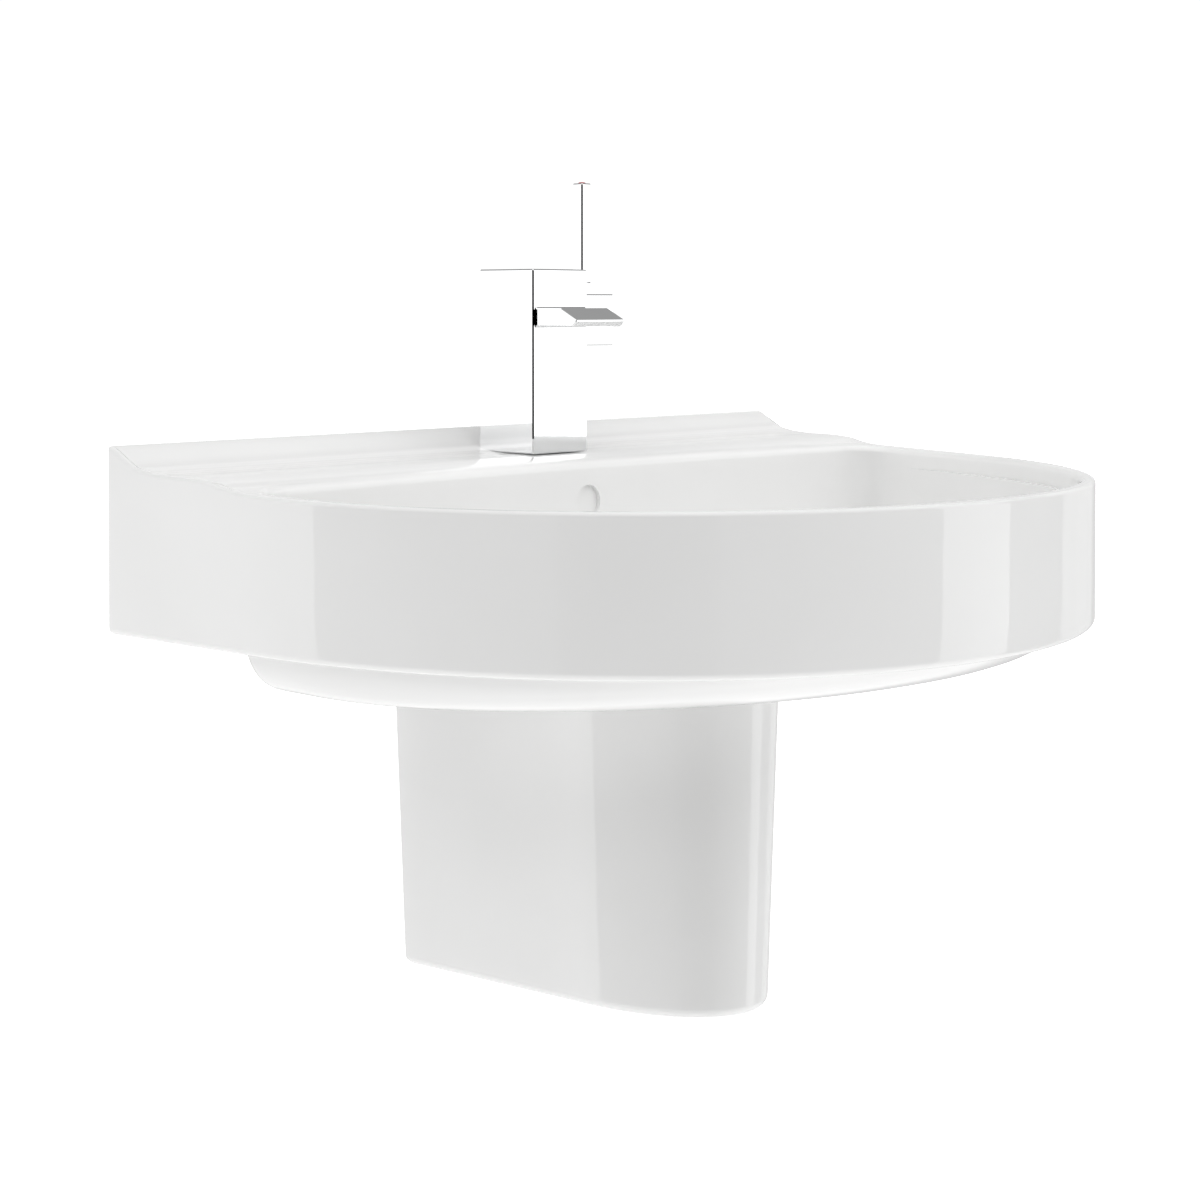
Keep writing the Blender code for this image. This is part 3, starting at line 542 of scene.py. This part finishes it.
def basin_rings():
    outer = outer_plan(0.0)
    inner = plan(HALF_WIDTH - SKIRT_WALL, FRONT_HALF_WIDTH - SKIRT_WALL, SIDE_LENGTH,
                 FRONT_BULGE - SKIRT_WALL, -0.012, 0.006)
    bowl_top = plan(0.2835, 0.2835, 0.140, 0.2843, -0.105, 0.030, 0.008)
    bowl_base = plan(0.238, 0.238, 0.165, 0.123, -0.128, 0.034, 0.008)
    under_top = plan(0.2868, 0.2868, 0.140, 0.2875, -0.093, 0.012, 0.008)
    under_base = plan(0.250, 0.250, 0.160, 0.140, -0.112, 0.018, 0.008)
    rings = []

    for i in range(7):                                            # round the skirt's bottom edge
        a = (pi / 2) * i / 6
        rings.append(at(outer_plan(SKIRT_EDGE_R * (1 - sin(a))), SKIRT_Z + SKIRT_EDGE_R * (1 - cos(a))))
    for s in (0.25, 0.5, 0.75):                                   # up the outer wall
        rings.append(at(outer, lambda y: SKIRT_Z + SKIRT_EDGE_R + s * (
            top_height(y) - EDGE_R - SKIRT_Z - SKIRT_EDGE_R)))
    for i in range(6):                                            # round the top edge
        a = (pi / 2) * i / 5
        rings.append(at(outer_plan(EDGE_R * (1 - cos(a))), lambda y: top_height(y) - EDGE_R * (1 - sin(a))))
    shoulder = outer_plan(EDGE_R)
    lip = inset(bowl_top, -BOWL_EDGE_R)
    rows = 64
    for i in range(1, rows + 1):                                  # across the rim and the deck
        rings.append(at(blend_ring(shoulder, lip, i / rows), top_height))
    for i in range(1, 8):                                         # over the bowl's edge
        a = (pi / 2) * i / 7
        rings.append(at(inset(bowl_top, -BOWL_EDGE_R * (1 - sin(a))),
                        lambda y: top_height(y) - BOWL_EDGE_R * (1 - cos(a))))
    steps = 26
    for i in range(1, steps + 1):                                 # down the bowl's wall
        across, down = wall_fraction(i, steps, BOWL_POWER)
        start = [top_height(y) - BOWL_EDGE_R for x, y in bowl_top]
        ring = blend_ring(bowl_top, bowl_base, across)
        rings.append([(x, y, z + (FLOOR_Z - z) * down) for (x, y), z in zip(ring, start)])
    seat = circle_like(bowl_base, FLANGE_SEAT_R + 0.0012)
    for i in range(1, 9):                                         # bowl floor, falling to the waste
        s = i / 8
        rings.append(at(blend_ring(bowl_base, seat, s), FLOOR_Z + (DRAIN_Z - FLOOR_Z) * s))
    rings.append(at(circle_like(bowl_base, FLANGE_SEAT_R + 0.0003), DRAIN_Z - 0.0004))
    rings.append(at(circle_like(bowl_base, FLANGE_SEAT_R), DRAIN_Z - 0.0014))
    rings.append(at(circle_like(bowl_base, FLANGE_SEAT_R), DRAIN_Z - 0.0045))
    rings.append(at(circle_like(bowl_base, DRAIN_HOLE_R), DRAIN_Z - 0.0045))
    rings.append(at(circle_like(bowl_base, DRAIN_HOLE_R), PAN_Z + 0.0005))
    rings.append(at(circle_like(under_base, DRAIN_HOLE_R + 0.0005), PAN_Z))
    for s in (0.35, 0.7, 1.0):                                    # pan's underside
        rings.append(at(blend_ring(circle_like(under_base, DRAIN_HOLE_R + 0.0005), under_base, s), PAN_Z))
    steps = 16
    for i in range(steps - 1, 0, -1):                             # up the bowl's outside
        across, down = wall_fraction(i, steps, PAN_POWER)
        ring = blend_ring(under_top, under_base, across)
        start = [top_height(y) - UNDER_RIM for x, y in under_top]
        rings.append([(x, y, z + (PAN_Z - z) * down) for (x, y), z in zip(ring, start)])
    for s in (1.0, 0.5, 0.0):                                     # under the rim and the deck
        rings.append(at(blend_ring(inner, under_top, s), lambda y: top_height(y) - UNDER_RIM))
    for s in (0.75, 0.5, 0.25):                                   # down the skirt's inside
        rings.append(at(inner, lambda y: SKIRT_Z + 0.002 + s * (top_height(y) - UNDER_RIM - SKIRT_Z - 0.002)))
    rings.append(at(inner, SKIRT_Z + 0.002))
    rings.append(at(inset(inner, -0.0006), SKIRT_Z + 0.0006))
    rings.append(at(inset(inner, -0.0020), SKIRT_Z))
    return rings


def make_basin():
    basin = new_object("basin_fine", skin(basin_rings(), closed=True), 50)
    y0 = OVERFLOW.y
    mouth = [(0.0, y0 - 0.020), (OVERFLOW_R + 0.0045, y0 - 0.020), (OVERFLOW_R + 0.0045, y0 - 0.0032)]
    for i in range(7):                                            # rounded edge of the overflow
        a = (pi / 2) * i / 6
        mouth.append((OVERFLOW_R + 0.0018 * (1 - sin(a)), y0 - 0.0012 + 0.0018 * (1 - cos(a))))
    mouth += [(OVERFLOW_R, y0 + 0.010), (0.0, y0 + 0.010)]
    hole = new_object("overflow_cutter", spun(mouth, "Y", OVERFLOW))
    boolean(basin, hole, "DIFFERENCE")
    tap_hole = spun([(0.0, 0.0), (TAP_HOLE_R, 0.0), (TAP_HOLE_R, 0.1), (0.0, 0.1)], "Z", (0.0, TAP_Y, 0.0))
    boolean(basin, new_object("tap_hole_cutter", tap_hole), "DIFFERENCE")
    for sign in (-1, 1):
        profile = [(0.0, -0.03), (STUD_HOLE_R, -0.03), (STUD_HOLE_R, -0.0008),
                   (STUD_HOLE_R + 0.0008, 0.0002), (STUD_HOLE_R + 0.0008, 0.01), (0.0, 0.01)]
        hole = new_object("stud_hole_cutter", spun(profile, "Y", (sign * STUD_X, 0.0, 0.0)))
        boolean(basin, hole, "DIFFERENCE")
    basin.data.shade_smooth()
    basin.data.set_sharp_from_angle(angle=radians(50))
    stand_in(basin, "basin", "root")

    duct = new_object("overflow_duct", block((-0.022, -0.1000, PAN_Z + 0.0005), (0.022, -0.0785, 0.0328)))
    bevelled(duct, 0.004, 4)
    duct.data.materials.append(FINISHES["ceramic"])
    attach(duct, "root")


# ---------------------------------------------------------------- semi-pedestal
def pedestal_plan(z, shrink=0.0, back=0.0):
    height = z - (PED_BOTTOM_Z - 0.0014)
    half = PED_HALF + PED_FLARE * height - shrink
    bulge = PED_BULGE + PED_BULGE_FLARE * height - shrink
    return plan(half, half * PED_TAPER, PED_SIDE, bulge, back, 0.0016)


def pedestal_foot(y):
    return PED_BOTTOM_Z - PED_RISE * y


def make_pedestal():
    rings = []
    for i in range(9):                                            # rounded lower edge
        a = (pi / 2) * i / 8
        drawn_in = PED_EDGE_R * (1 - sin(a))
        rings.append(at(pedestal_plan(PED_BOTTOM_Z, drawn_in, -drawn_in),
                        lambda y: pedestal_foot(y) + PED_EDGE_R * (1 - cos(a))))
    top = PED_HIGH.z
    rows = 12
    for i in range(1, rows + 1):
        s = i / rows
        z = PED_BOTTOM_Z + (top - PED_BOTTOM_Z) * s
        level = pedestal_plan(z)
        rings.append([(x, y, (pedestal_foot(y) + PED_EDGE_R) * (1 - s) + top * s) for x, y in level])
    pedestal = new_object("semi_pedestal_fine", skin(rings, caps=True), 40)
    low = PED_BOTTOM_Z + PED_WALL + 0.004
    inside = [at(pedestal_plan(z, PED_WALL, 0.02), z) for z in (low, low + 0.1, top + 0.01)]
    boolean(pedestal, new_object("pedestal_inside", skin(inside, caps=True)), "DIFFERENCE")
    for sign in (-1, 1):
        xs = sorted((sign * 0.033, sign * 0.068))
        lug = new_object("lug", block((xs[0], -0.014, -0.168), (xs[1], -0.002, -0.132)))
        boolean(pedestal, lug, "UNION")
        hole = [(0.0, -0.03), (0.0055, -0.03), (0.0055, 0.01), (0.0, 0.01)]
        cutter = new_object("lug_hole", spun(hole, "Y", (sign * PED_STUD_X, 0.0, PED_STUD_Z)))
        boolean(pedestal, cutter, "DIFFERENCE")
    pedestal.data.shade_smooth()
    pedestal.data.set_sharp_from_angle(angle=radians(40))
    stand_in(pedestal, "semi_pedestal", "root")


# ---------------------------------------------------------------- mixer
def make_tap_body():
    half = (TAP_HIGH.x - TAP_LOW.x) / 2
    front = TAP_Y - half
    column = block((-half, TAP_Y - half, TAP_FOOT_Z), (half, TAP_Y + half, TAP_HIGH.z))
    body = new_object("tap_body_fine", column)
    tip = TAP_LOW.y
    top, bottom = 0.1421, 0.1301
    outline = [(front + 0.004, top), (tip + 0.0161, top), (tip, top - 0.0080), (tip + 0.0040, bottom),
               (front + 0.004, bottom)]
    spout = skin([[(x, y, z) for y, z in outline] for x in (-0.023, 0.023)], caps=True)
    boolean(body, new_object("spout", spout), "UNION")
    seat = block((-0.0185, -0.1095, 0.125), (0.0185, -0.0985, 0.1350))
    boolean(body, new_object("aerator_seat", seat), "DIFFERENCE")
    chamfered(body, CHROME_EDGE)
    pocket = spun([(0.0, 0.040), (0.019, 0.040), (0.019, 0.060), (0.0, 0.060)], "Z", (0.0, TAP_Y, 0.0))
    boolean(body, new_object("tap_pocket", pocket), "DIFFERENCE")
    below = TAP_FOOT_Z - 0.01
    outline = [(0.0, below), (SEAL_RECESS_R, below), (SEAL_RECESS_R, TAP_LOW.z), (0.0, TAP_LOW.z)]
    recess = spun(outline, "Z", (0.0, TAP_Y, 0.0))
    boolean(body, new_object("seal_recess", recess), "DIFFERENCE")
    body.data.shade_smooth()
    body.data.set_sharp_from_angle(angle=radians(12))
    stand_in(body, "tap_body", "root")


def make_lever_housing():
    low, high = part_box("lever_housing")
    housing = new_object("lever_housing_fine", block(low, high))
    chamfered(housing, CHROME_EDGE)
    bore = spun([(0.0, low.z + 0.005), (0.0107, low.z + 0.005), (0.0107, high.z - 0.0005),
                 (0.0112, high.z + 0.0001), (0.0112, high.z + 0.01), (0.0, high.z + 0.01)], "Z", SPINDLE)
    boolean(housing, new_object("cartridge_bore", bore), "DIFFERENCE")
    housing.data.shade_smooth()
    housing.data.set_sharp_from_angle(angle=radians(30))
    stand_in(housing, "lever_housing", "root")


def make_lever_bar():
    low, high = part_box("lever_bar")
    bar = new_object("lever_bar_fine", block(low, high))
    chamfered(bar, CHROME_EDGE)
    bore = spun([(0.0, low.z - 0.01), (0.0031, low.z - 0.01), (0.0031, low.z + 0.0115),
                 (0.0, low.z + 0.0115)], "Z", SPINDLE)
    boolean(bar, new_object("stem_bore", bore), "DIFFERENCE")
    seat = spun([(0.0, high.z - 0.0012), (0.0030, high.z - 0.0012), (0.0030, high.z + 0.01),
                 (0.0, high.z + 0.01)], "Z", SPINDLE)
    boolean(bar, new_object("button_seat", seat), "DIFFERENCE")
    screw_centre = Vector((SPINDLE.x, 0.0, low.z + 0.006))
    hole = spun([(0.0, TAP_Y), (0.0018, TAP_Y), (0.0018, TAP_Y + 0.01), (0.0, TAP_Y + 0.01)],
                "Y", screw_centre)
    boolean(bar, new_object("grub_hole", hole), "DIFFERENCE")
    bar.data.shade_smooth()
    bar.data.set_sharp_from_angle(angle=radians(30))
    stand_in(bar, "lever_bar", "lever")


def make_mixer():
    make_tap_body()
    make_lever_housing()
    make_lever_bar()
    for node, body in (("cartridge_ring", "root"), ("cartridge_carrier", "cartridge_carrier"),
                       ("lever_stem", "lever"), ("lever_indicator", "lever"), ("tap_base_seal", "root"),
                       ("inlet_nipple_hot", "root"), ("inlet_nipple_cold", "root")):
        refine_turned(node, body, edge=0.0002)
    refine_nut("tap_nut", "Z")


# ---------------------------------------------------------------- waste, trap and fixings
def make_waste_and_trap():
    axis = Vector((DRAIN.x, DRAIN.y, 0.0))
    for node, body in (("waste_body", "root"), ("plug_cap", "plug"), ("waste_washer", "root"),
                       ("trap_dip_tube", "root"), ("trap_cup", "root")):
        refine_turned(node, body, centre=axis, edge=0.0005)
    refine_turned("trap_inlet_nut", "root", centre=axis, shape=flutes(24, 0.0009, 0.0235))
    refine_turned("trap_top_nut", "root", centre=axis, shape=flutes(24, 0.0008, 0.0228))
    refine_nut("waste_back_nut", "Z")

    outlet = (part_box("outlet_pipe")[0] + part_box("outlet_pipe")[1]) / 2
    refine_turned("outlet_pipe", "root", "Y", outlet)
    refine_turned("wall_rose", "root", "Y", outlet, edge=0.0008)
    refine_turned("trap_outlet_nut", "root", "Y", outlet, shape=flutes(24, 0.0008, 0.0218))

    profile, loop = turned_profile("trap_body", "Z", axis)
    body = new_object("trap_body_fine", spun(softened(profile, loop, 0.0008), "Z", axis, loop), 60)
    y = DRAIN.y
    socket = spun([(0.0164, y + 0.0245), (0.0190, y + 0.0245), (0.0190, -0.1424), (0.0186, -0.142),
                   (0.0168, -0.142), (0.0164, -0.1424)], "Y", outlet, True)
    boolean(body, new_object("socket", socket), "UNION")
    body.data.shade_smooth()
    body.data.set_sharp_from_angle(angle=radians(40))
    stand_in(body, "trap_body", "root")


def make_fixings():
    for prefix in ("basin", "pedestal"):
        for side in ("left", "right"):
            stud = f"{prefix}_stud_{side}"
            low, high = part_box(stud)
            centre = (low + high) / 2
            threads = [(low.y + 0.001, -0.002, 0.0015, 0.0007), (0.006, high.y - 0.002, 0.0036, 0.0013)]
            threaded_rod(stud, threads, centre)
            refine_nut(f"{prefix}_nut_{side}", "Y")
            for piece in ("washer", "bush"):
                refine_turned(f"{prefix}_{piece}_{side}", "root", "Y", centre)


# ---------------------------------------------------------------- studio
def make_world():
    """Soft studio: a dark side towards the viewer between two tall soft boxes, bright overhead in front.

    Bands are (degrees, level): from that direction on, anticlockwise from +X, the level holds."""
    side_bands = [(0, 0.31), (16, 0.25), (76, 0.30), (96, 0.34), (112, 0.46), (128, 0.52), (150, 0.11),
                  (205, 0.0), (240, 0.11), (298, 0.60), (322, 0.16), (348, 0.30)]
    heights_front = [(-90, 0.60), (-34, 0.60), (24, 0.44), (32, 0.54), (54, 0.50), (66, 0.46), (90, 0.46)]
    heights_back = [(-90, 0.40), (-34, 0.40), (24, 0.22), (30, 0.12), (54, 0.12), (66, 0.22), (90, 0.46)]
    front_share = [(0, 0.0), (110, 0.0), (150, 1.0), (335, 1.0), (360, 0.0)]
    strength = 3.0
    world = bpy.data.worlds.new("studio")
    bpy.context.scene.world = world
    world.use_nodes = True
    tree = world.node_tree
    background = tree.nodes["Background"]
    background.inputs["Strength"].default_value = strength

    coordinates = tree.nodes.new("ShaderNodeTexCoord")
    parts = tree.nodes.new("ShaderNodeSeparateXYZ")
    tree.links.new(coordinates.outputs["Generated"], parts.inputs["Vector"])

    def maths(operation, a, b=None):
        node = tree.nodes.new("ShaderNodeMath")
        node.operation = operation
        for socket, value in zip(node.inputs, (a, b)):
            if isinstance(value, (int, float)):
                socket.default_value = value
            elif value is not None:
                tree.links.new(value, socket)
        return node.outputs["Value"]

    def ramp(value, stops, mode):
        node = tree.nodes.new("ShaderNodeValToRGB")
        node.color_ramp.interpolation = mode
        elements = node.color_ramp.elements
        while len(elements) < len(stops):
            elements.new(0.5)
        for element, (position, level) in zip(elements, stops):
            element.position = position
            element.color = (level, level, level, 1.0)
        tree.links.new(value, node.inputs["Fac"])
        return node.outputs["Color"]

    def blend(factor, a, b):
        node = tree.nodes.new("ShaderNodeMix")
        node.data_type = "RGBA"
        for socket, value in (("Factor", factor), ("A", a), ("B", b)):
            tree.links.new(value, next(i for i in node.inputs if i.name == socket and i.enabled))
        return node.outputs[2]

    angle = maths("ARCTAN2", parts.outputs["Y"], parts.outputs["X"])
    turn = maths("FRACT", maths("ADD", maths("DIVIDE", angle, 2 * pi), 1.0))
    elevation = maths("ADD", maths("DIVIDE", maths("ARCSINE", parts.outputs["Z"]), pi), 0.5)
    sides = ramp(turn, [(a / 360, level) for a, level in side_bands], "CONSTANT")
    in_front = ramp(elevation, [((e + 90) / 180, level) for e, level in heights_front], "LINEAR")
    behind = ramp(elevation, [((e + 90) / 180, level) for e, level in heights_back], "LINEAR")
    share = ramp(turn, [(a / 360, level) for a, level in front_share], "LINEAR")
    above_below = blend(share, behind, in_front)
    belt_edges = [(-90, 0.0), (-30, 0.0), (-26, 1.0), (24, 1.0), (28, 0.0)]
    belt = ramp(elevation, [((e + 90) / 180, level) for e, level in belt_edges], "LINEAR")
    around = blend(belt, above_below, sides)

    seen = tree.nodes.new("ShaderNodeLightPath")
    backdrop = tree.nodes.new("ShaderNodeBackground")
    backdrop.inputs["Color"].default_value = (1.0, 1.0, 1.0, 1.0)
    backdrop.inputs["Strength"].default_value = 1.05
    choose = tree.nodes.new("ShaderNodeMixShader")
    tree.links.new(around, background.inputs["Color"])
    tree.links.new(seen.outputs["Is Camera Ray"], choose.inputs["Fac"])
    tree.links.new(background.outputs["Background"], choose.inputs[1])
    tree.links.new(backdrop.outputs["Background"], choose.inputs[2])
    tree.links.new(choose.outputs["Shader"], tree.nodes["World Output"].inputs["Surface"])


def make_floor():
    """Plain white floor, at the height a basin with its rim at 850 mm has it."""
    floor_z = RIM_Z - 0.85
    builder = bmesh.new()
    bmesh.ops.create_grid(builder, x_segments=1, y_segments=1, size=30.0)
    bmesh.ops.translate(builder, verts=builder.verts, vec=(0.0, 0.0, floor_z))
    floor = new_object("floor", builder)
    material = bpy.data.materials.new("floor_white")
    material.use_nodes = True
    shader = material.node_tree.nodes["Principled BSDF"]
    shader.inputs["Base Color"].default_value = (0.9, 0.9, 0.9, 1.0)
    shader.inputs["Roughness"].default_value = 1.0
    shader.inputs["Emission Color"].default_value = (1.0, 1.0, 1.0, 1.0)
    shader.inputs["Emission Strength"].default_value = 0.6
    floor.data.materials.append(material)
    floor.visible_glossy = False
    floor.visible_diffuse = False


def make_camera():
    camera = bpy.data.objects.new("camera", bpy.data.cameras.new("camera"))
    bpy.context.scene.collection.objects.link(camera)
    camera.location = (-1.0741, -1.1385, 0.1473)
    camera.rotation_euler = (radians(88.8), 0.0, radians(-46.394))
    camera.data.lens = 68.6
    camera.data.sensor_width = 36.0
    camera.data.shift_y = -0.2100
    bpy.context.scene.camera = camera


# ---------------------------------------------------------------- the scene
for node, piece in frame["nodes"].items():
    for slot in piece.material_slots:
        slot.material = FINISHES[SLOT_OF[node]]

make_basin()
make_pedestal()
make_mixer()
make_waste_and_trap()
make_fixings()
make_world()
make_floor()
make_camera()
bpy.context.scene.view_settings.view_transform = "Standard"
